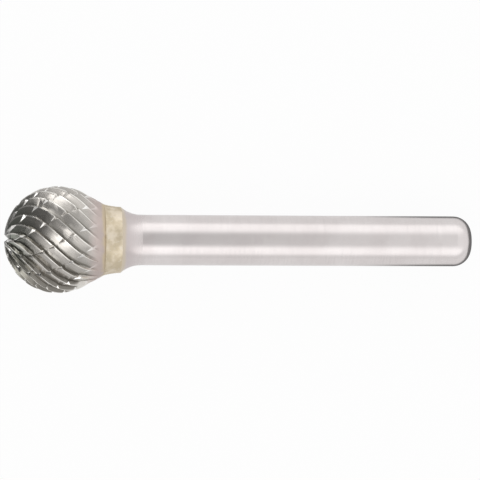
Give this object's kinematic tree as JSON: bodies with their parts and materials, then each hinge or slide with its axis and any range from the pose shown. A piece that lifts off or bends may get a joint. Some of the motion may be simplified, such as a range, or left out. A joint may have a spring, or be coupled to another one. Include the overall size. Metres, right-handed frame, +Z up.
{
  "type": "carbide burr",
  "caption": "Ball-nose carbide burr with cross-cut teeth, brazed to a plain round steel shank for a die grinder.",
  "frame": {"origin": "centre of the part's footprint, on the surface it lies on", "axes": "+X from the toothed nose towards the shank's rear end, +Z up; the burr lies on its ball and on the shank's rounded end, so its axis falls 3.97 degrees from nose to rear"},
  "size_m": [0.056, 0.0126, 0.0127],
  "materials": {
    "carbide_head": "ground sintered carbide, bright tooth edges",
    "braze_joint": "pale gold braze, slightly uneven satin",
    "steel_shank": "fine ground steel, satin to bright"
  },
  "bodies": {
    "root": {"carbide_head": "carbide_head", "braze_joint": "braze_joint", "steel_shank": "steel_shank"}
  },
  "joints": []
}
